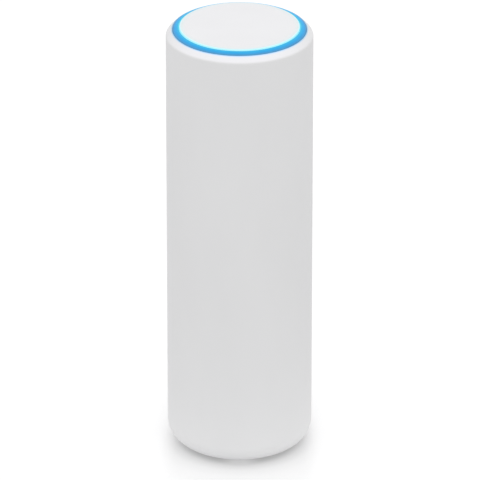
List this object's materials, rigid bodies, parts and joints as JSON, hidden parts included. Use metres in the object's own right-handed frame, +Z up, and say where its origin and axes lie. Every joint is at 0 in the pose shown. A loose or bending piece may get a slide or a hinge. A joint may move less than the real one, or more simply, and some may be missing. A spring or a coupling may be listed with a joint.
{
  "type": "mesh wifi node",
  "caption": "Slim white cylindrical wireless access point with a lit blue ring round its flat top, a twist-off base cover and a network socket recessed in its underside.",
  "frame": {"origin": "centre of the footprint, on the surface that the rubber foot stands on", "axes": "+Z up along the cylinder's axis, -Y the front of the picture, +Y the cable side"},
  "size_m": [0.0482, 0.0482, 0.15],
  "materials": {
    "white_shell": "fine satin",
    "cap_plastic": "satin",
    "light_guide": "lit translucent guide",
    "foot_rubber": "matt",
    "grey_plastic": "matt",
    "black_plastic": "matt",
    "steel": "plated sheet",
    "aluminium": "extruded",
    "contact_metal": "plated",
    "board": "solder mask",
    "white_board": "white solder mask",
    "pad": "soft pad",
    "ferrite": "matt",
    "film": "polyimide film"
  },
  "bodies": {
    "housing": {"outer_sleeve": "white_shell", "light_ring": "light_guide", "top_cap": "cap_plastic", "port_well": "white_shell", "reset_switch": "steel", "jack_shell": "steel", "jack_insert": "black_plastic", "contact_comb": "contact_metal", "main_board": "board", "antenna_frame": "grey_plastic", "heat_sink": "aluminium", "shield_can_1": "steel", "shield_can_2": "steel", "processor": "black_plastic", "radio_chip_1": "black_plastic", "radio_chip_2": "black_plastic", "memory_chip": "black_plastic", "flash_chip": "black_plastic", "thermal_pad_1": "pad", "thermal_pad_2": "pad", "thermal_pad_3": "pad", "network_transformer": "black_plastic", "power_transformer": "ferrite", "power_inductor": "ferrite", "bulk_capacitor_1": "aluminium", "bulk_capacitor_2": "aluminium", "light_board": "white_board", "light_flex": "film", "antenna_1": "contact_metal", "antenna_cable_1": "black_plastic", "antenna_plug_1": "contact_metal", "frame_screw_1": "steel", "board_screw_1": "steel", "antenna_2": "contact_metal", "antenna_cable_2": "black_plastic", "antenna_plug_2": "contact_metal", "frame_screw_2": "steel", "board_screw_2": "steel", "antenna_3": "contact_metal", "antenna_cable_3": "black_plastic", "antenna_plug_3": "contact_metal", "frame_screw_3": "steel", "board_screw_3": "steel", "antenna_4": "contact_metal", "antenna_cable_4": "black_plastic", "antenna_plug_4": "contact_metal", "frame_screw_4": "steel", "board_screw_4": "steel", "base_screw_1": "steel", "base_screw_2": "steel", "base_screw_3": "steel"},
    "base": {"base_cover": "white_shell", "rubber_foot": "foot_rubber"},
    "button": {"reset_button": "grey_plastic", "switch_plunger": "black_plastic"}
  },
  "joints": [
    {"name": "base_twist", "type": "hinge", "parent": "housing", "child": "base", "pos_m": [0, 0, 0.0009], "axis": [0, 0, 1], "range_deg": [0, 25]},
    {"name": "reset_press", "type": "slide", "parent": "housing", "child": "button", "axis": [0, 0, 1], "range_m": [0, 0.0004], "stiffness_N_per_m": 600}
  ]
}
